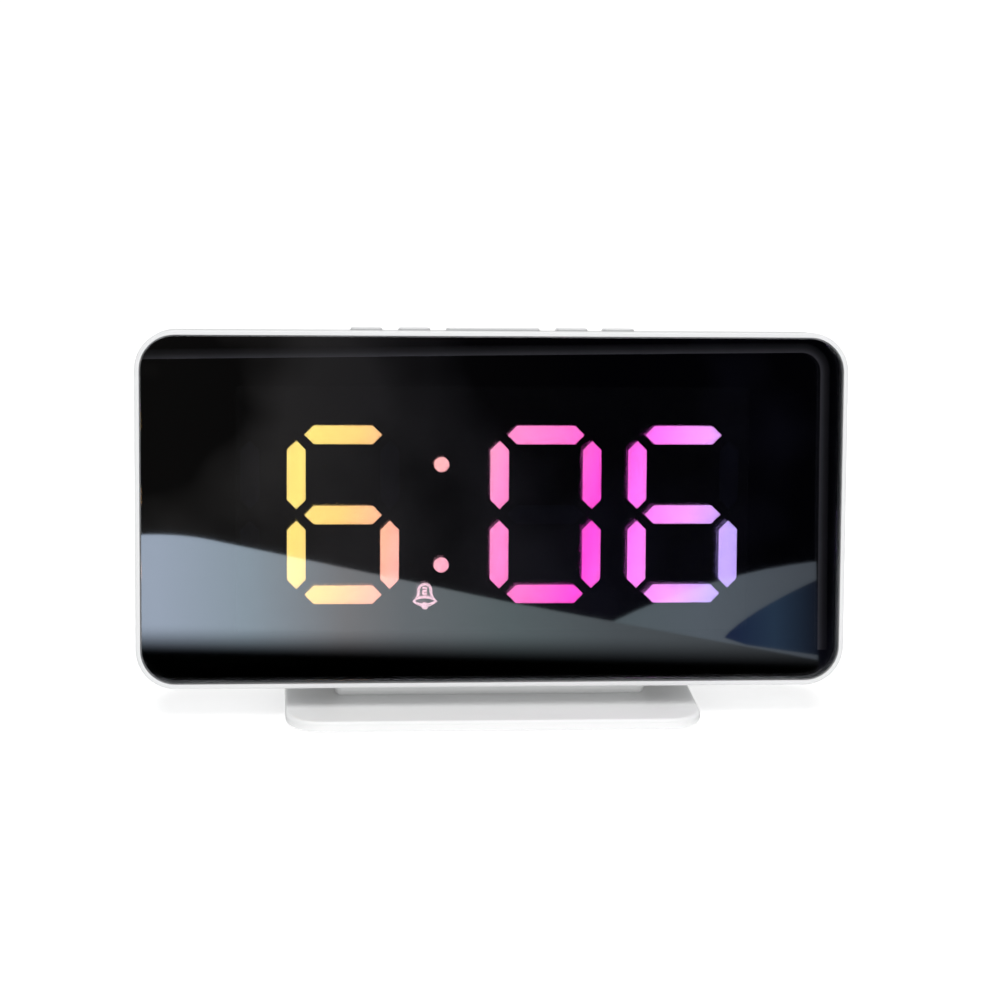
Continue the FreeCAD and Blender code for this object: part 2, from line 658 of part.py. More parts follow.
def battery_springs():
    # A short coil between each cell's flat end and its contact plate.
    wire = 0.45
    gap = BAY_X[1] - BAY_X[0] - 2 * PLATE_THICK - CELL_LENGTH
    solids = []
    for index, z in enumerate(cell_centres()):
        way = cell_direction(index)
        x = BAY_X[0] + PLATE_THICK if way > 0 else BAY_X[1] - PLATE_THICK - gap
        height = gap - 2 * wire - 0.04
        radius = 3.0
        helix = Part.makeHelix(height / 3, height, radius)
        profile = Part.Wire(Part.Circle(V(radius, 0, 0), V(0, 1, 0), wire).toShape())
        coil = Part.Wire(helix).makePipeShell([profile], True, True)
        coil.rotate(V(0, 0, 0), V(0, 1, 0), 90)
        coil.translate(V(x + wire + 0.02, CELL_Y, z))
        solids.append(coil)
    return Part.makeCompound(solids)


def case_screws():
    return Part.makeCompound([screw_y(CASE_SCREW_SEAT, FLANGE_BACK + 2.5, x, z, 1.25, 2.3, 1.6)
                              for x, z in CASE_SCREWS])


# ---- speaker and power jack ----
def turned_y(profile, x, z):
    # Turns a closed outline of (radius, depth) points about a line along Y.
    face = polygon([V(radius, y, 0) for radius, y in profile])
    solid = face.revolve(V(0, 0, 0), V(0, 1, 0), 360)
    solid.translate(V(x, 0, z))
    return solid


SPEAKER_FRONT = TOTAL_DEPTH - WALL


def speaker_basket():
    y = SPEAKER_FRONT
    profile = [(14.0, y), (14.0, y - 1.3), (11.6, y - 1.3), (8.0, y - 4.2), (0.0, y - 4.2),
               (0.0, y - 3.6), (7.6, y - 3.6), (11.2, y - 0.7), (13.0, y - 0.7), (13.0, y)]
    return turned_y(profile, SPEAKER_X, SPEAKER_Z)


def speaker_magnet():
    return rod_y(7.0, SPEAKER_FRONT - 7.4, SPEAKER_FRONT - 4.2, SPEAKER_X, SPEAKER_Z)


def speaker_cone():
    y = SPEAKER_FRONT
    profile = [(12.9, y - 0.2), (12.9, y - 0.6), (11.4, y - 0.6), (3.2, y - 2.9), (0.0, y - 2.2),
               (0.0, y - 1.9), (3.2, y - 2.5), (11.3, y - 0.2)]
    return turned_y(profile, SPEAKER_X, SPEAKER_Z)


LEAD_RADIUS = 0.5
LEAD_START_Z = SPEAKER_Z - SPEAKER_RADIUS - 0.1
LEAD_END_Z = 20.0


def speaker_leads():
    # Down from the basket's edge, one bend, then forward to the display board.
    start_y = SPEAKER_FRONT - 0.8
    drop = LEAD_START_Z - LEAD_END_Z
    bend = 0.45 * drop
    diagonal = bend * (1 - math.sqrt(0.5))
    solids = []
    for x in (SPEAKER_X - 1.2, SPEAKER_X + 1.2):
        down_end = V(x, start_y, LEAD_END_Z + bend)
        run_start = V(x, start_y - bend, LEAD_END_Z)
        middle = V(x, start_y - diagonal, LEAD_END_Z + diagonal)
        path = Part.Wire([Part.LineSegment(V(x, start_y, LEAD_START_Z), down_end).toShape(),
                          Part.Arc(down_end, middle, run_start).toShape(),
                          Part.LineSegment(run_start, V(x, BOARD_BACK, LEAD_END_Z)).toShape()])
        circle = Part.Circle(V(x, start_y, LEAD_START_Z), V(0, 0, 1), LEAD_RADIUS).toShape()
        solids.append(path.makePipeShell([Part.Wire(circle)], True, False))
    return Part.makeCompound(solids)


def power_jack():
    half = JACK_SIZE / 2
    block = box(JACK_X - half, JACK_X + half, BOARD_BACK, SPEAKER_FRONT, JACK_Z - half, JACK_Z + half)
    nose = rod_y(JACK_NOSE, SPEAKER_FRONT, TOTAL_DEPTH - 0.1, JACK_X, JACK_Z)
    bore = rod_y(JACK_BORE, SPEAKER_FRONT - 9.5, TOTAL_DEPTH + 1, JACK_X, JACK_Z)
    return union([block, nose]).cut(bore)


def power_jack_pin():
    start = SPEAKER_FRONT - 9.5
    pin = rod_y(1.0, start, TOTAL_DEPTH - 1.2, JACK_X, JACK_Z)
    return pin.makeFillet(0.6, edges_at(pin, y=TOTAL_DEPTH - 1.2))


# ---- hinge ----
def hinge_bracket():
    envelope = outer_front().fuse(rear_loft(0, TOTAL_DEPTH))
    block = box(-BRACKET_HALF, BRACKET_HALF, BRACKET_Y[0], BRACKET_Y[1], -1, BRACKET_TOP)
    bracket = block.common(envelope)
    bracket = bracket.cut(rod_x(POCKET_RADIUS, -POCKET_HALF, POCKET_HALF, AXIS_Y, AXIS_Z))
    for x0, x1 in ((-PIN_X[1], -PIN_X[0]), PIN_X):
        bracket = bracket.cut(rod_x(PIN_RADIUS, x0, x1, AXIS_Y, AXIS_Z))
    return bracket.removeSplitter()


def hinge_pins():
    return Part.makeCompound([rod_x(PIN_RADIUS, x0, x1, AXIS_Y, AXIS_Z)
                              for x0, x1 in ((-PIN_X[1], -PIN_X[0]), PIN_X)])


def friction_washers():
    solids = []
    for x0, x1 in ((-POCKET_HALF, -BARREL_HALF - 0.1), (BARREL_HALF + 0.1, POCKET_HALF)):
        washer = rod_x(3.3, x0, x1, AXIS_Y, AXIS_Z)
        solids.append(washer.cut(rod_x(PIN_RADIUS + 0.05, x0, x1, AXIS_Y, AXIS_Z)))
    return Part.makeCompound(solids)


# ---- stand ----
def base_plate():
    slab = flat_slab(BASE_WIDTH, BASE_DEPTH, BASE_CORNER, FOOT_HEIGHT, BASE_TOP, 0, BASE_MID_Y)
    slab = slab.makeFillet(BASE_ROUND, edges_at(slab, z=BASE_TOP))
    slab = slab.makeFillet(BASE_UNDER_ROUND, edges_at(slab, z=FOOT_HEIGHT))
    barrel = rod_x(BARREL_RADIUS, -BARREL_HALF, BARREL_HALF, 0, AXIS_HEIGHT)
    ends = [e for e in barrel.Edges if e.BoundBox.XLength < 1e-4 and e.BoundBox.YLength > 1]
    barrel = barrel.makeFillet(2.0, ends)
    body = slab.fuse(barrel)
    inset = 2 * 2.0
    ceiling = BASE_TOP - BASE_WALL
    body = body.cut(flat_slab(BASE_WIDTH - inset, BASE_DEPTH - inset, BASE_CORNER - 2, 0, ceiling,
                              0, BASE_MID_Y))
    for x, y in BASE_SCREWS:
        body = body.fuse(rod_z(BOSS_RADIUS, FOOT_HEIGHT + BASE_FLOOR, ceiling, x, BASE_MID_Y + y))
    for sx in (-1, 1):
        near, far = PIN_X[0] - 1, BARREL_HALF + 1
        bore = rod_x(PIN_RADIUS + PIN_RUNNING_GAP, min(sx * near, sx * far), max(sx * near, sx * far),
                     0, AXIS_HEIGHT)
        body = body.cut(bore)
    for x, y in BASE_SCREWS:
        body = body.cut(rod_z(0.92, 0, BASE_TOP - 0.5, x, BASE_MID_Y + y))
    return body.removeSplitter()


def base_ballast():
    inset = 2 * 3.5
    plate = flat_slab(BASE_WIDTH - inset, BASE_DEPTH - inset, BASE_CORNER - 3.5,
                      FOOT_HEIGHT + BASE_FLOOR, BASE_TOP - BASE_WALL, 0, BASE_MID_Y)
    for x, y in BASE_SCREWS:
        plate = plate.cut(rod_z(BOSS_RADIUS + 0.2, 0, BASE_TOP, x, BASE_MID_Y + y))
    return plate


def base_bottom():
    inset = 2 * 2.1
    cover = flat_slab(BASE_WIDTH - inset, BASE_DEPTH - inset, BASE_CORNER - 2.1, FOOT_HEIGHT,
                      FOOT_HEIGHT + BASE_FLOOR, 0, BASE_MID_Y)
    for x, y in FEET:
        cover = cover.cut(rod_z(4.1, 0, FOOT_HEIGHT + FOOT_RECESS, x, BASE_MID_Y + y))
    for x, y in BASE_SCREWS:
        cover = cover.cut(rod_z(1.1, 0, BASE_TOP, x, BASE_MID_Y + y))
        cover = cover.cut(rod_z(1.9, 0, FOOT_HEIGHT + HEAD_SINK, x, BASE_MID_Y + y))
    return cover


def base_screws():
    solids = []
    seat = FOOT_HEIGHT + HEAD_SINK
    for x, y in BASE_SCREWS:
        head = rod_z(1.8, FOOT_HEIGHT + 0.05, seat, x, BASE_MID_Y + y)
        shank = rod_z(0.9, seat, BASE_TOP - 0.6, x, BASE_MID_Y + y)
        slot = box(x - 1.1, x + 1.1, BASE_MID_Y + y - 0.2, BASE_MID_Y + y + 0.2, 0, FOOT_HEIGHT + 0.25)
        solids.append(union([head, shank]).cut(slot))
    return Part.makeCompound(solids)


def rubber_feet():
    solids = []
    for x, y in FEET:
        foot = rod_z(4.0, 0, FOOT_HEIGHT + FOOT_RECESS, x, BASE_MID_Y + y)
        solids.append(foot.makeFillet(0.25, edges_at(foot, z=0)))
    return Part.makeCompound(solids)


# ---- assembly ----
def case_pieces():
    depth0, depth1 = LIGHT_BOX_FRONT, LIGHT_BOX_FRONT + LENS_THICK
    pieces = {"front_case": front_case(), "mirror_panel": mirror_panel(), "colour_film": colour_film(),
              "light_box": light_box(), "colon_dots": Part.makeCompound(dots(depth0, depth1)),
              "alarm_bell_icon": alarm_bell_icon(), "segment_leds": segment_leds(),
              "display_board": display_board(), "board_screws": board_screws(),
              "controller_chip": chip(22.0, 46.0, 9.0, 9.0, 1.5, 8),
              "driver_chip": chip(24.0, 58.5, 7.0, 7.0, 1.6, 6),
              "filter_capacitor": filter_capacitor(), "clock_crystal": clock_crystal(),
              "tact_switches": tact_switches(), "key_board": key_board(),
              "key_board_screws": key_board_screws(), "key_ribbon": key_ribbon(),
              "ribbon_connector": ribbon_connector(), "rear_cover": rear_cover(),
              "battery_door": battery_door(), "battery_cells": battery_cells(),
              "battery_contact_plates": battery_contact_plates(),
              "battery_springs": battery_springs(), "case_screws": case_screws(),
              "speaker_basket": speaker_basket(), "speaker_magnet": speaker_magnet(),
              "speaker_cone": speaker_cone(), "speaker_leads": speaker_leads(),
              "power_jack": power_jack(), "power_jack_pin": power_jack_pin(),
              "hinge_bracket": hinge_bracket(), "hinge_pins": hinge_pins(),
              "friction_washers": friction_washers()}
    for name, (x, letters) in DIGITS.items():
        pieces[name] = Part.makeCompound(segments(x, letters, depth0, depth1))
    dark = [s for x, letters in DARK for s in segments(x, letters, depth0, depth1)]
    pieces["dark_segments"] = Part.makeCompound(dark)
    for name, (x, width) in KEYS.items():
        pieces[name] = key_cap(x, width)
        pieces[name.replace("_key", "_plunger")] = key_plunger(x)
    return pieces


def stand_pieces():
    return {"base_plate": base_plate(), "base_ballast": base_ballast(), "base_bottom": base_bottom(),
            "base_screws": base_screws(), "rubber_feet": rubber_feet()}


def lean_back(shape):
    # From case coordinates to the stand: onto the hinge axis, then leaned back about it.
    placed = shape.copy()
    placed.translate(V(0, -AXIS_Y, AXIS_HEIGHT - AXIS_Z))
    placed.rotate(V(0, 0, AXIS_HEIGHT), V(1, 0, 0), -LEAN)
    return placed


def build():
    pieces = {name: lean_back(shape) for name, shape in case_pieces().items()}
    pieces.update(stand_pieces())
    low = min(shape.BoundBox.YMin for shape in pieces.values())
    high = max(shape.BoundBox.YMax for shape in pieces.values())
    shift = -(low + high) / 2
    for shape in pieces.values():
        shape.translate(V(0, shift, 0))
    return pieces, shift


def main():
    os.makedirs("parts", exist_ok=True)
    pieces, shift = build()
    for name, shape in sorted(pieces.items()):
        shape.exportStep(os.path.join("parts", name + ".step"))
        solids = len(shape.Solids)
        state = "ok" if shape.isValid() and solids else "BAD"
        print(f"{name:24s} solids {solids:3d}  volume {shape.Volume:10.2f}  {state}")
    print(f"pieces {len(pieces)}, hinge axis at Y {shift:.4f}, Z {AXIS_HEIGHT:.4f}")


if __name__ == "__main__":
    main()
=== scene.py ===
import json
import math

import bmesh
import bpy
from mathutils import Matrix, Vector


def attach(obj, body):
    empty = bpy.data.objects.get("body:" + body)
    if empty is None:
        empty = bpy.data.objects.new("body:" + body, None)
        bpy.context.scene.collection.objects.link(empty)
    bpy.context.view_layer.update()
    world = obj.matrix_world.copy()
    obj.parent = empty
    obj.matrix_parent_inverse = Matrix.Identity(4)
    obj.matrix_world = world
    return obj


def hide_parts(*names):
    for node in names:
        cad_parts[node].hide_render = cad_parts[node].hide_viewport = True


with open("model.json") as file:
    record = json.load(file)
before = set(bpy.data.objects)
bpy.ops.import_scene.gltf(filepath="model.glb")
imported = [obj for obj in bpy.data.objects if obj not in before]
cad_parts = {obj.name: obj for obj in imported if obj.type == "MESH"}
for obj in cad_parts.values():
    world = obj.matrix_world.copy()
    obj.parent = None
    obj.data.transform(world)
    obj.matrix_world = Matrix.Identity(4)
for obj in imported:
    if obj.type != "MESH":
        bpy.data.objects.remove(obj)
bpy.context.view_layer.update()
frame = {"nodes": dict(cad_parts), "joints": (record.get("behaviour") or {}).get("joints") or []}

# ---- front shell ----
# The front half of the case is one injection moulding in white ABS, polished in the tool to a
# satin gloss. Its thin rim holds the mirror, its shelf carries the display and its top the keys.

MM = 0.001

key_press = next(j for j in frame["joints"] if j["name"] == "snooze_press")
UP_CASE = -Vector(key_press["axis"]).normalized()
BACK_CASE = Vector((0, UP_CASE.z, -UP_CASE.y))


def reach_of(node, direction):
    """How far a node reaches along a direction, as its lowest and highest value."""
    reach = [v.co.dot(direction) for v in frame["nodes"][node].data.vertices]
    return min(reach), max(reach)


FACE = reach_of("front_case", BACK_CASE)[0]
UNDERSIDE = reach_of("front_case", UP_CASE)[0]


def on_case(x, depth, height):
    """A place on the leaning case: millimetres from the middle, behind the rim, over its underside."""
    return (Vector((x * MM, 0, 0)) + BACK_CASE * (FACE + depth * MM)
            + UP_CASE * (UNDERSIDE + height * MM))


def shade(red, green, blue):
    """A colour seen on a paint card, 0 to 255, as the light it gives back."""
    def light(value):
        value /= 255
        return value / 12.92 if value <= 0.04045 else ((value + 0.055) / 1.055) ** 2.4
    return light(red), light(green), light(blue), 1.0


def darker(colour, share):
    return tuple(channel * share for channel in colour[:3]) + (1.0,)


def moulding(name, colour, gloss, cloud=14.0, tone=0.965, grain=0.5, depth=0.004, metal=0.0):
    """A finish with a faint cloud in its colour and gloss, and a fine grain, sizes in millimetres."""
    finish = bpy.data.materials.new(name)
    finish.use_nodes = True
    nodes, links = finish.node_tree.nodes, finish.node_tree.links
    surface = nodes["Principled BSDF"]
    surface.inputs["Metallic"].default_value = metal
    place = nodes.new("ShaderNodeTexCoord")
    clouds = nodes.new("ShaderNodeTexNoise")
    clouds.inputs["Scale"].default_value = 1 / (cloud * MM)
    clouds.inputs["Detail"].default_value = 3
    links.new(place.outputs["Object"], clouds.inputs["Vector"])
    tint = nodes.new("ShaderNodeMix")
    tint.data_type = "RGBA"
    tint.inputs["A"].default_value = darker(colour, tone)
    tint.inputs["B"].default_value = colour
    links.new(clouds.outputs["Fac"], tint.inputs["Factor"])
    links.new(tint.outputs["Result"], surface.inputs["Base Color"])
    polish = nodes.new("ShaderNodeMapRange")
    polish.inputs["To Min"].default_value = gloss * 0.85
    polish.inputs["To Max"].default_value = gloss * 1.15
    links.new(clouds.outputs["Fac"], polish.inputs["Value"])
    links.new(polish.outputs["Result"], surface.inputs["Roughness"])
    skin = nodes.new("ShaderNodeTexNoise")
    skin.inputs["Scale"].default_value = 1 / (grain * MM)
    skin.inputs["Detail"].default_value = 2
    links.new(place.outputs["Object"], skin.inputs["Vector"])
    relief = nodes.new("ShaderNodeBump")
    relief.inputs["Distance"].default_value = depth * MM
    links.new(skin.outputs["Fac"], relief.inputs["Height"])
    links.new(relief.outputs["Normal"], surface.inputs["Normal"])
    return finish


def dress(finish, *names):
    """Gives CAD nodes a finish."""
    for name in names:
        for place in frame["nodes"][name].material_slots:
            place.material = finish


def shine(finish, level):
    """Sets how strongly a finish shines, 0.5 being a plain plastic."""
    finish.node_tree.nodes["Principled BSDF"].inputs["Specular IOR Level"].default_value = level


white_abs = moulding("white_abs_satin", (0.70, 0.705, 0.71, 1), 0.34)
shine(white_abs, 0.25)
dress(white_abs, "front_case")

# ---- half mirror ----
# The face is one sheet of dark acrylic with a thin metal coat, so it mirrors what stands before
# it and lets lit lenses through. The mask printed round its back mirrors as the coat does.

MIRROR_SHARE = 0.36
SMOKE = (0.72, 0.72, 0.73, 1)


def see_through(name, clear, share, gloss, colour, metal):
    """A coated clear sheet: a share of it mirrors and the rest lets light pass, tinted."""
    finish = bpy.data.materials.new(name)
    finish.use_nodes = True
    nodes, links = finish.node_tree.nodes, finish.node_tree.links
    surface = nodes["Principled BSDF"]
    surface.inputs["Base Color"].default_value = colour
    surface.inputs["Metallic"].default_value = metal
    place = nodes.new("ShaderNodeTexCoord")
    haze = nodes.new("ShaderNodeTexNoise")
    haze.inputs["Scale"].default_value = 1 / (30 * MM)
    links.new(place.outputs["Object"], haze.inputs["Vector"])
    polish = nodes.new("ShaderNodeMapRange")
    polish.inputs["To Min"].default_value = gloss * 0.8
    polish.inputs["To Max"].default_value = gloss * 1.2
    links.new(haze.outputs["Fac"], polish.inputs["Value"])
    links.new(polish.outputs["Result"], surface.inputs["Roughness"])
    clear_part = nodes.new("ShaderNodeBsdfTransparent")
    clear_part.inputs["Color"].default_value = clear
    both = nodes.new("ShaderNodeMixShader")
    both.inputs["Fac"].default_value = share
    links.new(clear_part.outputs["BSDF"], both.inputs[1])
    links.new(surface.outputs["BSDF"], both.inputs[2])
    links.new(both.outputs["Shader"], nodes["Material Output"].inputs["Surface"])
    return finish


dress(see_through("half_mirror_acrylic", SMOKE, MIRROR_SHARE, 0.02, (0.95, 0.96, 0.98, 1), 1.0),
      "mirror_panel")


def case_piece(name, points, faces, finish, slot_name, body="case"):
    """A mesh whose points are given on the case, in millimetres, and which rides on a body."""
    mesh = bpy.data.meshes.new(name)
    mesh.from_pydata([on_case(*p) for p in points], [], faces)
    build = bmesh.new()
    build.from_mesh(mesh)
    bmesh.ops.recalc_face_normals(build, faces=build.faces)
    build.to_mesh(mesh)
    build.free()
    piece = bpy.data.objects.new(name, mesh)
    bpy.context.scene.collection.objects.link(piece)
    mesh.materials.append(finish)
    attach(piece, body)
    return piece


def rounded_corners(left, right, low, high, radius, steps=8):
    """The outline of a rounded rectangle, anticlockwise from the lower right."""
    outline = []
    for turn, (x, z) in enumerate([(right - radius, low + radius), (right - radius, high - radius),
                                   (left + radius, high - radius), (left + radius, low + radius)]):
        for i in range(steps + 1):
            angle = math.radians(90 * (turn - 1) + 90 * i / steps)
            outline.append((x + radius * math.cos(angle), z + radius * math.sin(angle)))
    return outline


def band_between(outer, inner, front, back):
    """Points and faces of a closed band between two outlines, from one depth to another."""
    count = len(outer)
    points = []
    for outline, depth in ((outer, front), (inner, front), (outer, back), (inner, back)):
        points += [(x, depth, z) for x, z in outline]
    faces = []
    for i in range(count):
        j = (i + 1) % count
        for a, b in ((0, 1), (1, 3), (3, 2), (2, 0)):
            faces.append((a * count + i, a * count + j, b * count + j, b * count + i))
    return points, faces


PANEL = (-81.7, 81.7, 1.3, 81.7)
PANEL_CORNER = 7.8
WINDOW = (-60.0, 60.0, 12.8, 70.2)
WINDOW_CORNER = 1.0
MASK_FRONT, MASK_BACK = 2.44, 2.49
mask_black = moulding("mask_print_black", (0.34, 0.34, 0.35, 1), 0.02, tone=1.0, depth=0.0, metal=1.0)
mask_shape = band_between(rounded_corners(*PANEL, PANEL_CORNER), rounded_corners(*WINDOW, WINDOW_CORNER),
                          MASK_FRONT, MASK_BACK)
case_piece("mask_print", *mask_shape, mask_black, "mirror_face")

# A soft grey line is painted along the top and down the right side of the face, a painted reflection of
# light caught on its edge.
# Each place on the line is (x, height) and the way in which the line fades out.
EDGE_WIDE = 2.3
EDGE_BEND = 4.5
EDGE_BEND_STEPS = 10
EDGE_TOP, EDGE_RIGHT = 78.3, 76.8
EDGE_DEPTHS = (2.40, 2.43)
EDGE_LEVELS = {0.0: 1.0, 0.5: 0.3, 1.0: 0.02}
edge_line = [(-81.4, 76.2, 0.0, 1.0), (-40, 76.8, 0.0, 1.0), (0, 77.4, 0.0, 1.0), (40, 77.9, 0.0, 1.0)]
for i in range(EDGE_BEND_STEPS):
    angle = math.radians(90 - 90 * i / (EDGE_BEND_STEPS - 1))
    out_x, out_z = math.cos(angle), math.sin(angle)
    edge_line.append((EDGE_RIGHT - EDGE_BEND + EDGE_BEND * out_x, EDGE_TOP - EDGE_BEND + EDGE_BEND * out_z,
                      out_x, out_z))
edge_line += [(76.9, 50, 1.0, 0.0), (77.1, 25, 1.0, 0.0), (77.3, 8, 1.0, 0.0)]
edge_points = []
# How strong the painted reflection is at each point: strongest at the edge, fading inwards.
painted_reflection_level = []
for depth in EDGE_DEPTHS:
    for share, level in EDGE_LEVELS.items():
        edge_points += [(x + out_x * share * EDGE_WIDE, depth, z + out_z * share * EDGE_WIDE)
                        for x, z, out_x, out_z in edge_line]
        painted_reflection_level += [level] * len(edge_line)
row = len(edge_line)
edge_faces = []
for i in range(row - 1):
    for a, b in ((0, 1), (1, 2), (2, 5), (5, 4), (4, 3), (3, 0)):
        edge_faces.append((a * row + i, a * row + i + 1, b * row + i + 1, b * row + i))
for end in (0, row - 1):
    for corners in ((0, 1, 4, 3), (1, 2, 5, 4)):
        edge_faces.append(tuple(k * row + end for k in corners))


def mark_points(piece, name, levels):
    """Keeps a level, 0 to 1, at every point of a piece for its finish to read."""
    kept = piece.data.attributes.new(name, "FLOAT", "POINT")
    kept.data.foreach_set("value", levels)


def colour_by_level(finish, name, at_zero=None, at_one=None):
    """Runs a finish's colour along the kept levels. The end that isn't given is its own colour."""
    nodes, links = finish.node_tree.nodes, finish.node_tree.links
    colour = nodes["Principled BSDF"].inputs["Base Color"]
    own_colour = colour.links[0].from_socket
    level = nodes.new("ShaderNodeAttribute")
    level.attribute_name = name
    both = nodes.new("ShaderNodeMix")
    both.data_type = "RGBA"
    links.new(level.outputs["Fac"], both.inputs["Factor"])
    for end, given in (("A", at_zero), ("B", at_one)):
        if given:
            both.inputs[end].default_value = given
        else:
            links.new(own_colour, both.inputs[end])
    links.new(both.outputs["Result"], colour)


# Painted reflection: this grey stands for light reflected along the face's top and right edge, and fades to
# black away from it.
painted_reflection_grey = moulding("painted_edge_reflection_grey", (0.10, 0.10, 0.115, 1), 0.5)
shine(painted_reflection_grey, 0.05)
colour_by_level(painted_reflection_grey, "painted_reflection_level", at_zero=(0.003, 0.003, 0.0035, 1))
painted_reflection_line = case_piece("painted_edge_reflection", edge_points, edge_faces, painted_reflection_grey, "mirror_face")
mark_points(painted_reflection_line, "painted_reflection_level", painted_reflection_level)

# ---- colour film ----
# A clear polyester film lies behind the mirror. The lenses' light takes its run of colour
# from it, so on its own it shows only as a faint gloss.

dress(see_through("clear_polyester_film", (0.97, 0.97, 0.97, 1), 0.005, 0.2, (0.8, 0.8, 0.8, 1), 0.0),
      "colour_film")

# ---- light box ----
# A matt black moulding stands on the display board, with a shaft for every segment, dot and
# icon, which keeps their light apart.

black_abs = moulding("black_abs_matt", (0.003, 0.003, 0.0035, 1), 0.7, tone=0.8, depth=0.01)
shine(black_abs, 0.05)
dress(black_abs, "light_box")

# ---- lit lenses ----
# The segments, dots and bell are milky lenses over LEDs. Seen through the film, their colour runs
# from yellow at the left through pink and magenta to lilac at the right, further on lower down.

RUN_FROM, RUN_TO = -52.0, 64.0
RUN_SLOPE = 0.25
RUN_MIDDLE = on_case(0, 3, 40).z
GLOW = 4.4
FILM_RUN = [(-47, shade(243, 216, 120)), (-36, shade(249, 203, 122)), (-24, shade(250, 178, 150)),
            (-11, shade(250, 176, 188)), (0, shade(249, 140, 196)), (12, shade(248, 118, 198)),
            (24, shade(250, 76, 208)), (34, shade(250, 120, 232)), (45, shade(238, 156, 242)),
            (56, shade(190, 166, 240))]


def lit_lens(name, run, glow):
    """A milky lens that glows, with its colour run across the display in millimetres."""
    finish = bpy.data.materials.new(name)
    finish.use_nodes = True
    nodes, links = finish.node_tree.nodes, finish.node_tree.links
    surface = nodes["Principled BSDF"]
    surface.inputs["Roughness"].default_value = 0.45
    place = nodes.new("ShaderNodeTexCoord")
    axes = nodes.new("ShaderNodeSeparateXYZ")
    links.new(place.outputs["Object"], axes.inputs["Vector"])
    lowered = nodes.new("ShaderNodeMath")
    lowered.operation = "SUBTRACT"
    lowered.inputs[0].default_value = RUN_MIDDLE
    links.new(axes.outputs["Z"], lowered.inputs[1])
    along = nodes.new("ShaderNodeMath")
    along.operation = "MULTIPLY_ADD"
    along.inputs[1].default_value = RUN_SLOPE
    links.new(lowered.outputs["Value"], along.inputs[0])
    links.new(axes.outputs["X"], along.inputs[2])
    share = nodes.new("ShaderNodeMapRange")
    share.inputs["From Min"].default_value = RUN_FROM * MM
    share.inputs["From Max"].default_value = RUN_TO * MM
    links.new(along.outputs["Value"], share.inputs["Value"])
    ramp = nodes.new("ShaderNodeValToRGB")
    stops = ramp.color_ramp.elements
    while len(stops) < len(run):
        stops.new(0.5)
    for stop, (x, colour) in zip(stops, run):
        stop.position = (x - RUN_FROM) / (RUN_TO - RUN_FROM)
        stop.color = colour
    links.new(share.outputs["Result"], ramp.inputs["Fac"])
    links.new(ramp.outputs["Color"], surface.inputs["Emission Color"])
    links.new(ramp.outputs["Color"], surface.inputs["Base Color"])
    surface.inputs["Emission Strength"].default_value = glow
    return finish


dress(lit_lens("lit_milky_lens", FILM_RUN, GLOW),
      "hour_segments", "minute_tens_segments", "minute_segments", "colon_dots")
BELL_RUN = [(-40, shade(240, 204, 206)), (40, shade(240, 196, 222))]
BELL_GLOW = 0.8 * GLOW
dress(lit_lens("lit_bell_lens", BELL_RUN, BELL_GLOW), "alarm_bell_icon")

# ---- dark lenses ----
# The segments that are off now are the same lenses over unlit LEDs: smoky, and almost lost
# behind the mirror.

dress(moulding("dark_milky_lens", (0.006, 0.007, 0.03, 1), 0.45, tone=0.9), "dark_segments")

# ---- display board ----
# A glass fibre board in green solder mask holds the LEDs in front and the clock's chips behind.
# Four small steel screws hold it to the front shell.


def circuit(name, mask, trace):
    """Solder mask over a maze of copper traces."""
    finish = moulding(name, mask, 0.35)
    nodes, links = finish.node_tree.nodes, finish.node_tree.links
    surface = nodes["Principled BSDF"]
    place = nodes["Texture Coordinate"]
    maze = nodes.new("ShaderNodeTexVoronoi")
    maze.feature = "DISTANCE_TO_EDGE"
    maze.distance = "EUCLIDEAN"
    maze.inputs["Scale"].default_value = 1 / (3.5 * MM)
    maze.inputs["Randomness"].default_value = 0.75
    links.new(place.outputs["Object"], maze.inputs["Vector"])
    copper = nodes.new("ShaderNodeMapRange")
    copper.inputs["From Min"].default_value = 0.05
    copper.inputs["From Max"].default_value = 0.08
    copper.inputs["To Min"].default_value = 1
    copper.inputs["To Max"].default_value = 0
    links.new(maze.outputs["Distance"], copper.inputs["Value"])
    traced = nodes.new("ShaderNodeMix")
    traced.data_type = "RGBA"
    traced.inputs["B"].default_value = trace
    below = surface.inputs["Base Color"].links[0].from_socket
    links.new(copper.outputs["Result"], traced.inputs["Factor"])
    links.new(below, traced.inputs["A"])
    links.new(traced.outputs["Result"], surface.inputs["Base Color"])
    return finish


board_green = circuit("green_circuit_board", (0.012, 0.11, 0.045, 1), (0.03, 0.22, 0.09, 1))
dress(board_green, "display_board", "key_board")
dress(moulding("led_white_body", (0.75, 0.75, 0.66, 1), 0.4), "segment_leds")
steel = moulding("zinc_plated_steel", (0.62, 0.63, 0.65, 1), 0.28, cloud=2, tone=0.85, grain=0.2, metal=1.0)
dress(steel, "board_screws", "key_board_screws")
dress(moulding("chip_epoxy", (0.015, 0.015, 0.016, 1), 0.55, grain=0.15, depth=0.006),
      "controller_chip", "driver_chip")
dress(moulding("capacitor_sleeve", (0.55, 0.56, 0.58, 1), 0.3, metal=0.9), "filter_capacitor")
bright_metal = moulding("bright_nickel", (0.74, 0.73, 0.70, 1), 0.18, cloud=3, tone=0.88, metal=1.0)
dress(bright_metal, "clock_crystal")
dress(moulding("ribbon_grey", (0.42, 0.43, 0.44, 1), 0.5, tone=0.9), "key_ribbon")
dress(moulding("natural_nylon", (0.72, 0.69, 0.60, 1), 0.42), "ribbon_connector")

# ---- keys ----
# Five white ABS caps stand just proud of the case's top. Each presses the black plunger of a
# small switch on the key board.

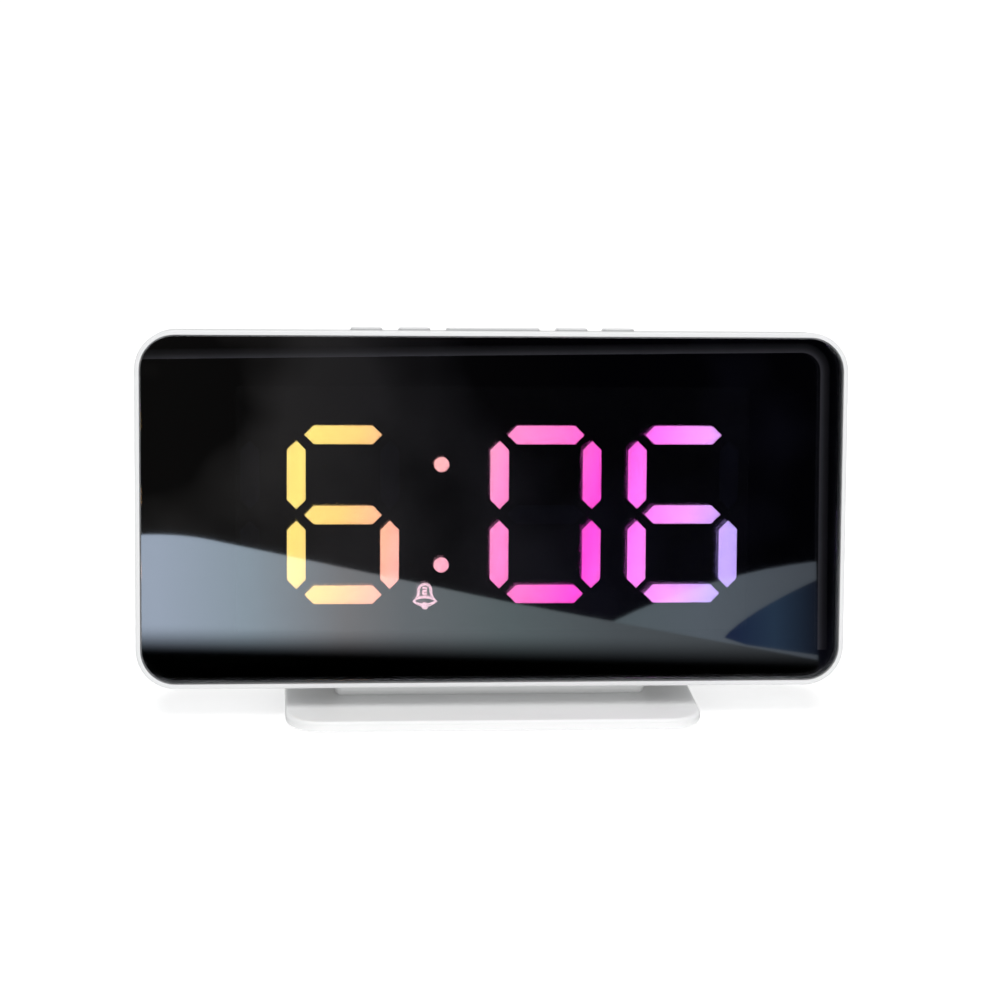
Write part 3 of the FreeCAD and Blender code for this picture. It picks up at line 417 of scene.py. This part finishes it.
key_abs = moulding("white_key_abs", (0.70, 0.705, 0.71, 1), 0.3, grain=0.3, depth=0.003)
dress(key_abs, "hour_key", "minute_key", "snooze_key", "alarm_key", "set_key")
dress(moulding("switch_black", (0.02, 0.02, 0.022, 1), 0.45), "tact_switches")
dress(moulding("plunger_nylon", (0.05, 0.05, 0.055, 1), 0.4), "hour_plunger", "minute_plunger",
      "snooze_plunger", "alarm_plunger", "set_plunger")

# ---- rear cover and battery door ----
# The back is moulded in the same white ABS but spark-textured, so it looks finer and duller. The
# door hooks in below the cells and clips above them, under a raised arrow. A polarity mark, a dot
# in an open ring between a minus and a plus, is raised beneath the power socket.

rear_abs = moulding("white_abs_textured", (0.69, 0.695, 0.70, 1), 0.48, grain=0.35, depth=0.02)
dress(rear_abs, "battery_door")

WELD = 0.001
SHARP_EDGE = 20


def soften(mesh, sharp_edge):
    """Joins a mesh's split points and shades it smooth, except across edges sharper than an angle."""
    build = bmesh.new()
    build.from_mesh(mesh)
    bmesh.ops.remove_doubles(build, verts=build.verts, dist=WELD * MM)
    bmesh.ops.recalc_face_normals(build, faces=build.faces)
    for face in build.faces:
        face.smooth = True
        face.material_index = 0
    for edge in build.edges:
        edge.smooth = edge.calc_face_angle(0.0) < math.radians(sharp_edge)
    build.to_mesh(mesh)
    build.free()


rear_mesh = frame["nodes"]["rear_cover"].data.copy()
rear_mesh.materials.clear()
rear_mesh.materials.append(rear_abs)
soften(rear_mesh, SHARP_EDGE)
rear_shell = bpy.data.objects.new("rear_shell", rear_mesh)
bpy.context.scene.collection.objects.link(rear_shell)
even_shading = rear_shell.modifiers.new("even_shading", "WEIGHTED_NORMAL")
even_shading.keep_sharp = True
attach(rear_shell, "case")
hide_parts("rear_cover")

BACK_FACE = 25.0
MARK_SUNK = 0.05
MARK_PROUD = 0.2
MARK_LINE = 0.35


def circle(x, z, radius, first=0, last=360, steps=24):
    """Points round a middle, from one angle to another in degrees."""
    turns = [math.radians(first + (last - first) * i / steps) for i in range(steps)]
    return [(x + radius * math.cos(a), z + radius * math.sin(a)) for a in turns]


def raised_bar(outline):
    """Points and faces of a closed low plate standing on the back."""
    count = len(outline)
    points = [(x, depth, z) for depth in (BACK_FACE - MARK_SUNK, BACK_FACE + MARK_PROUD)
              for x, z in outline]
    sides = [(i, (i + 1) % count, count + (i + 1) % count, count + i) for i in range(count)]
    return points, sides + [tuple(range(count)), tuple(range(count, 2 * count))]


def raised_ring(x, z, radius):
    """Points and faces of a low ring standing on the back."""
    return band_between(circle(x, z, radius), circle(x, z, radius - MARK_LINE), BACK_FACE - MARK_SUNK,
                        BACK_FACE + MARK_PROUD)


def raised_dash(x, z, wide, tall):
    """Points and faces of a low rectangle standing on the back."""
    return raised_bar([(x - wide / 2, z - tall / 2), (x + wide / 2, z - tall / 2),
                       (x + wide / 2, z + tall / 2), (x - wide / 2, z + tall / 2)])


def joined(shapes):
    """Several sets of points and faces as one."""
    points, faces = [], []
    for some_points, some_faces in shapes:
        faces += [tuple(i + len(points) for i in face) for face in some_faces]
        points += some_points
    return points, faces


MARK_X, MARK_Z, MARK_PITCH, MARK_RADIUS = 12.0, 17.4, 4.4, 1.25
OPEN_RING = 1.5
DOT = 0.5
DASH = 0.3
SIGN_WIDE = 1.3
PLUS_ARM = 0.42
open_ring = circle(MARK_X, MARK_Z, OPEN_RING, 40, 330, 20)
open_ring += circle(MARK_X, MARK_Z, OPEN_RING - MARK_LINE, 330, 40, 20)
marks = [raised_bar(open_ring), raised_bar(circle(MARK_X, MARK_Z, DOT, steps=16))]
for side in (-1, 1):
    marks.append(raised_ring(MARK_X + side * MARK_PITCH, MARK_Z, MARK_RADIUS))
    marks.append(raised_dash(MARK_X + side * MARK_PITCH, MARK_Z, SIGN_WIDE, DASH))
    marks.append(raised_dash(MARK_X - MARK_PITCH, MARK_Z + side * PLUS_ARM, DASH, 0.5))
    marks.append(raised_dash(MARK_X + side * 2.35, MARK_Z, 1.4, DASH))
case_piece("polarity_mark", *joined(marks), rear_abs, "white_shell")

ARROW_X, ARROW_Z = -38.5, 44.5
ARROW_OUTLINE = [(-1.1, -3), (1.1, -3), (1.1, 0), (2.6, 0), (0, 3), (-2.6, 0), (-1.1, 0)]
arrow = [(ARROW_X + x, ARROW_Z + z) for x, z in ARROW_OUTLINE]
case_piece("door_arrow", *raised_bar(arrow), rear_abs, "white_shell", "door")

# ---- cells, contacts and springs ----
# Three AAA cells lie side by side, turned opposite ways, between nickel plates and springs. Each
# is a steel can in a printed shrink sleeve, charcoal with a copper band at its plus end.

CELL_DEPTH, CELL_MIDDLE, CELL_PITCH = 17.6, 41.0, 11.2
CELL_TAILS = (-58.4, -18.6, -58.4)
CELL_STEPS = 40
BAND_FROM, BAND_TO = 33.0, 42.0
SLEEVE = [(0.12, 4.25), (0.0, 4.6), (0.1, 5.0), (0.35, 5.18), (0.8, 5.2), (BAND_FROM, 5.2),
          (BAND_FROM + 0.05, 5.2), (42.6, 5.2), (43.05, 5.12), (43.3, 4.85), (43.32, 4.35), (43.0, 4.3),
          (0.4, 4.25)]
MINUS_END = [(0.1, 0.0), (0.1, 3.5), (0.25, 3.8), (0.25, 4.28), (0.6, 4.28), (0.6, 0.0)]
PLUS_END = [(42.7, 0.0), (42.7, 4.3), (43.2, 4.3), (43.2, 2.9), (43.35, 2.2), (43.45, 1.9), (44.35, 1.85),
            (44.48, 1.65), (44.5, 0.0)]


def turned(profile, tail, way, height):
    """A profile of (along, radius) points turned about a cell's own axis, way being its direction."""
    points = []
    for along, radius in profile:
        for across, up in circle(0, 0, radius, steps=CELL_STEPS):
            points.append((tail + way * along, CELL_DEPTH + across, height + up))
    faces = []
    count = len(profile)
    for this_row in range(count):
        next_row = (this_row + 1) % count
        if profile[this_row][1] == 0 and profile[next_row][1] == 0:
            continue
        for i in range(CELL_STEPS):
            j = (i + 1) % CELL_STEPS
            faces.append((this_row * CELL_STEPS + i, this_row * CELL_STEPS + j,
                          next_row * CELL_STEPS + j, next_row * CELL_STEPS + i))
    return points, faces


cells = [(tail, 1 if index % 2 == 0 else -1, CELL_MIDDLE + (index - 1) * CELL_PITCH)
         for index, tail in enumerate(CELL_TAILS)]
sleeve_print = moulding("printed_cell_sleeve", (0.035, 0.037, 0.042, 1), 0.28, depth=0.002)
colour_by_level(sleeve_print, "copper_band", at_one=(0.42, 0.19, 0.07, 1))
sleeves = case_piece("cell_sleeves", *joined([turned(SLEEVE, *cell) for cell in cells]), sleeve_print,
                     "cell_wrap")
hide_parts("battery_cells")
band_levels = []
for along, _ in SLEEVE:
    band_levels += [1.0 if BAND_FROM < along < BAND_TO else 0.0] * CELL_STEPS
mark_points(sleeves, "copper_band", band_levels * len(cells))
ends = [turned(profile, *cell) for cell in cells for profile in (MINUS_END, PLUS_END)]
cell_ends = case_piece("cell_ends", *joined(ends), bright_metal, "bright_metal")
CELL_SHARP_EDGE = 30
for piece in (sleeves, cell_ends):
    soften(piece.data, CELL_SHARP_EDGE)
dress(bright_metal, "battery_contact_plates", "battery_springs")

# ---- case screws ----
# Four zinc-plated pan-head screws sit deep in the rear cover's pillars and cut their own threads
# in the front shell.

dress(steel, "case_screws")

# ---- speaker ----
# A small speaker faces the grille: a stamped steel basket, a ferrite magnet and a pressed paper
# cone. Two thin leads join it to the display board.

dress(moulding("basket_black_steel", (0.03, 0.03, 0.032, 1), 0.4, metal=0.6), "speaker_basket")
dress(moulding("ferrite_grey", (0.06, 0.06, 0.062, 1), 0.6, grain=0.2, depth=0.01), "speaker_magnet")
dress(moulding("cone_paper", (0.035, 0.034, 0.033, 1), 0.85, grain=0.25, depth=0.03), "speaker_cone")
dress(moulding("lead_red_vinyl", (0.35, 0.03, 0.03, 1), 0.45), "speaker_leads")

# ---- power jack ----
# A black nylon barrel socket, with a nickel pin, is soldered to the board and comes out level
# with the rear cover.

dress(moulding("jack_black", (0.015, 0.015, 0.016, 1), 0.4), "power_jack")
dress(bright_metal, "power_jack_pin")

# ---- hinge ----
# A white saddle is trapped between the two halves of the case. Steel pins in it run in the
# stand's barrel, between nylon friction washers.

dress(white_abs, "hinge_bracket")
dress(steel, "hinge_pins")
dress(moulding("washer_nylon", (0.7, 0.69, 0.64, 1), 0.4), "friction_washers")

# ---- stand ----
# The stand is a flat white plate with a barrel moulded across it. A steel plate inside gives it
# weight, and its underside is a screwed cover with four rubber feet.

stand_abs = moulding("white_stand_abs", (0.78, 0.785, 0.785, 1), 0.3)
dress(stand_abs, "base_plate", "base_bottom")
dress(steel, "base_screws", "base_ballast")
dress(moulding("foot_rubber", (0.03, 0.03, 0.03, 1), 0.8, grain=0.2, depth=0.02), "rubber_feet")

# ---- table and screens ----
# The clock stands on a plain pale table before a white backdrop. A dark screen and a dark mat in
# front keep the mirror black, and low grey and blue cards give it something soft to show.


def staged(name, points, faces, finish):
    """A piece of the studio, which isn't part of the clock."""
    mesh = bpy.data.meshes.new(name)
    mesh.from_pydata(points, [], faces)
    thing = bpy.data.objects.new(name, mesh)
    bpy.context.scene.collection.objects.link(thing)
    mesh.materials.append(finish)
    return thing


def only_mirrored(thing):
    """Leaves a screen to be seen in mirrors and nowhere else."""
    thing.visible_camera = False
    thing.visible_diffuse = False
    thing.visible_shadow = False
    thing.visible_transmission = False


TABLE_HALF = 5.0
TABLE_GLOW = 0.46
table_white = moulding("light_table", (0.75, 0.75, 0.75, 1), 0.8, cloud=300, tone=0.99)
table_surface = table_white.node_tree.nodes["Principled BSDF"]
table_surface.inputs["Emission Color"].default_value = (1, 1, 1, 1)
table_surface.inputs["Emission Strength"].default_value = TABLE_GLOW
shine(table_white, 0.1)
staged("table_top", [(-TABLE_HALF, -TABLE_HALF, 0), (TABLE_HALF, -TABLE_HALF, 0),
                     (TABLE_HALF, TABLE_HALF, 0), (-TABLE_HALF, TABLE_HALF, 0)], [(0, 1, 2, 3)],
       table_white)


def glowing(name, run, fades=None, wisps=None):
    """A card with its own soft light, whose colours run across.

    It may fade low down, given as the height where it is dark, the height where it is full and how
    much these drop along x, or be wispy, given as the number of wisps to a metre.
    """
    finish = bpy.data.materials.new(name)
    finish.use_nodes = True
    nodes, links = finish.node_tree.nodes, finish.node_tree.links
    nodes.remove(nodes["Principled BSDF"])
    light = nodes.new("ShaderNodeEmission")
    links.new(light.outputs["Emission"], nodes["Material Output"].inputs["Surface"])
    place = nodes.new("ShaderNodeTexCoord")
    axes = nodes.new("ShaderNodeSeparateXYZ")
    links.new(place.outputs["Object"], axes.inputs["Vector"])
    first, last = run[0][0], run[-1][0]
    across = nodes.new("ShaderNodeMapRange")
    across.inputs["From Min"].default_value = first
    across.inputs["From Max"].default_value = last
    links.new(axes.outputs["X"], across.inputs["Value"])
    ramp = nodes.new("ShaderNodeValToRGB")
    stops = ramp.color_ramp.elements
    while len(stops) < len(run):
        stops.new(0.5)
    for stop, (x, colour) in zip(stops, run):
        stop.position = (x - first) / (last - first)
        stop.color = colour + (1,)
    links.new(across.outputs["Result"], ramp.inputs["Fac"])
    links.new(ramp.outputs["Color"], light.inputs["Color"])
    if fades:
        dark_height, full_height, drop = fades
        slope = nodes.new("ShaderNodeMath")
        slope.operation = "MULTIPLY_ADD"
        slope.inputs[1].default_value = drop
        links.new(axes.outputs["X"], slope.inputs[0])
        links.new(axes.outputs["Z"], slope.inputs[2])
        fade = nodes.new("ShaderNodeMapRange")
        fade.interpolation_type = "SMOOTHSTEP"
        fade.inputs["From Min"].default_value = dark_height
        fade.inputs["From Max"].default_value = full_height
        links.new(slope.outputs["Value"], fade.inputs["Value"])
        links.new(fade.outputs["Result"], light.inputs["Strength"])
    if wisps:
        smoke = nodes.new("ShaderNodeTexNoise")
        smoke.inputs["Scale"].default_value = wisps
        smoke.inputs["Detail"].default_value = 3
        links.new(place.outputs["Object"], smoke.inputs["Vector"])
        uneven = nodes.new("ShaderNodeMapRange")
        uneven.inputs["From Min"].default_value = 0.42
        uneven.inputs["From Max"].default_value = 0.65
        uneven.inputs["To Min"].default_value = 0.4
        uneven.inputs["To Max"].default_value = 2.6
        links.new(smoke.outputs["Fac"], uneven.inputs["Value"])
        links.new(uneven.outputs["Result"], light.inputs["Strength"])
    return finish


BACKDROP_AWAY = 4.9
BACKDROP_TALL = 6.0
BACKDROP_STEPS = 48
backdrop_points = []
for i in range(BACKDROP_STEPS):
    angle = 2 * math.pi * i / BACKDROP_STEPS
    x, y = BACKDROP_AWAY * math.cos(angle), BACKDROP_AWAY * math.sin(angle)
    backdrop_points += [(x, y, 0.0), (x, y, BACKDROP_TALL)]
around = 2 * BACKDROP_STEPS
backdrop_faces = [(i, (i + 2) % around, (i + 3) % around, i + 1) for i in range(0, around, 2)]
backdrop = staged("white_backdrop", backdrop_points, backdrop_faces,
                  glowing("white_backdrop_paper", [(-1.0, (1, 1, 1)), (1.0, (1, 1, 1))]))
backdrop.visible_diffuse = False
backdrop.visible_glossy = False
backdrop.visible_shadow = False

SCREEN_AWAY = 0.75
SCREEN_TALL = 1.0
SCREEN_STEPS = 40
MAT_NEAR = 0.05
MAT_LEVEL = 0.001
SCREEN_FROM, SCREEN_TO = -185, 5
SCREEN_WISPS = 9.0
screen_points = []
screen_faces = []
for i in range(SCREEN_STEPS + 1):
    angle = math.radians(SCREEN_FROM + (SCREEN_TO - SCREEN_FROM) * i / SCREEN_STEPS)
    for away, height in ((MAT_NEAR, MAT_LEVEL), (SCREEN_AWAY, MAT_LEVEL), (SCREEN_AWAY, SCREEN_TALL)):
        screen_points.append((away * math.cos(angle), away * math.sin(angle), height))
    if i:
        for low in (0, 1):
            screen_faces.append((3 * i - 3 + low, 3 * i + low, 3 * i + low + 1, 3 * i - 2 + low))
screen_dark = glowing("dark_screen_cloth", [(-0.10, (0.020, 0.019, 0.018)), (0.12, (0.003, 0.003, 0.0055))],
                      wisps=SCREEN_WISPS)
only_mirrored(staged("dark_screen", screen_points, screen_faces, screen_dark))

CARD_PLACE = -0.45


def card(name, outline, finish, forward=0.0):
    """An upright card in front of the clock, cut to an outline of x and height in metres."""
    points = [(x, CARD_PLACE + forward, z) for x, z in outline]
    only_mirrored(staged(name, points, [tuple(range(len(points)))], finish))


def bowed(start, bend, end, steps=8):
    """Places along a smooth bow from start to end, drawn towards the place between them."""
    places = []
    for i in range(steps + 1):
        t = i / steps
        places.append(tuple((1 - t) ** 2 * a + 2 * t * (1 - t) * b + t * t * c
                            for a, b, c in zip(start, bend, end)))
    return places


CARD_LEFT, CARD_RIGHT = -0.30, 0.173
CARD_FADE = (0.0245, 0.037, 0.03)
grey_run = [(-0.095, (0.74, 0.87, 1.05)), (-0.06, (0.59, 0.72, 0.82)), (-0.02, (0.43, 0.43, 0.44)),
            (0.005, (0.31, 0.34, 0.36)), (0.045, (0.22, 0.27, 0.28)), (0.09, (0.16, 0.185, 0.20)),
            (0.165, (0.12, 0.13, 0.14))]
grey_top = bowed((-0.10, 0.075), (-0.085, 0.0755), (-0.07, 0.072))
card("grey_card", [(CARD_LEFT, 0.068), *grey_top, (0.045, 0.0475), (CARD_RIGHT, 0.023),
                   (CARD_RIGHT, 0.008), (CARD_LEFT, 0.008)],
     glowing("grey_card_paper", grey_run, CARD_FADE), 0.002)
far_grey_top = bowed((0.088, 0.039), (0.13, 0.059), (CARD_RIGHT, 0.0635))
card("far_grey_card", [*far_grey_top, (CARD_RIGHT, 0.016), (0.088, 0.016)],
     glowing("far_grey_paper", [(0.088, (0.19, 0.24, 0.26)), (0.125, (0.20, 0.24, 0.28)),
                                (CARD_RIGHT, (0.13, 0.15, 0.175))]))
blue_top = bowed((0.134, 0.0325), (0.143, 0.0425), (CARD_RIGHT, 0.056))
card("blue_card", [*blue_top, (CARD_RIGHT, 0.025), (0.143, 0.0295)],
     glowing("blue_paper", [(0.134, (0.02, 0.035, 0.10)), (0.155, (0.04, 0.075, 0.135)),
                            (CARD_RIGHT, (0.015, 0.02, 0.035))]), 0.001)

# ---- studio light ----
# One large soft light hangs over the table and the pale room fills in round it. A low soft light
# in front reaches in under the case.

studio = bpy.data.worlds.new("pale_room")
studio.use_nodes = True
studio.node_tree.nodes["Background"].inputs["Color"].default_value = (1, 1, 1, 1)
studio.node_tree.nodes["Background"].inputs["Strength"].default_value = 0.52
bpy.context.scene.world = studio


def soft_light(name, place, towards, size, power):
    lamp = bpy.data.lights.new(name, "AREA")
    lamp.shape = "SQUARE"
    lamp.size = size
    lamp.energy = power
    light = bpy.data.objects.new(name, lamp)
    bpy.context.scene.collection.objects.link(light)
    light.location = place
    light.rotation_mode = "QUATERNION"
    light.rotation_quaternion = (Vector(towards) - Vector(place)).to_track_quat("-Z", "Y")
    return light


soft_light("overhead_light", (-0.2, -0.5, 5.0), (0, 0, 0), 5.0, 185)
low_fill = soft_light("low_fill_light", (0.1, -0.9, 0.17), (0, 0, 0.01), 0.32, 2.2)
low_fill.visible_glossy = False

view = bpy.context.scene.view_settings
view.view_transform = "Standard"
view.look = "None"

# ---- camera ----
# The camera stands a little to the left of the clock and above its face, and is tipped a trace.

AZIMUTH, ELEVATION, TIP = -5.4, 15.2, 1.34
AWAY = 0.60
LENS = 92.9
SHIFT = (0.0054, 0.0102)
FACE_MIDDLE = (0, 0.5, 41.5)

face_middle = on_case(*FACE_MIDDLE)
turn, rise = math.radians(AZIMUTH), math.radians(ELEVATION)
towards_camera = Vector((math.sin(turn) * math.cos(rise), -math.cos(turn) * math.cos(rise), math.sin(rise)))
lens = bpy.data.cameras.new("camera")
lens.lens = LENS
lens.sensor_width = 36
lens.shift_x, lens.shift_y = SHIFT
camera = bpy.data.objects.new("camera", lens)
bpy.context.scene.collection.objects.link(camera)
camera.location = face_middle + towards_camera * AWAY
camera.rotation_mode = "QUATERNION"
level = (-towards_camera).to_track_quat("-Z", "Y")
camera.rotation_quaternion = level @ Matrix.Rotation(math.radians(TIP), 3, "Z").to_quaternion()
bpy.context.scene.camera = camera
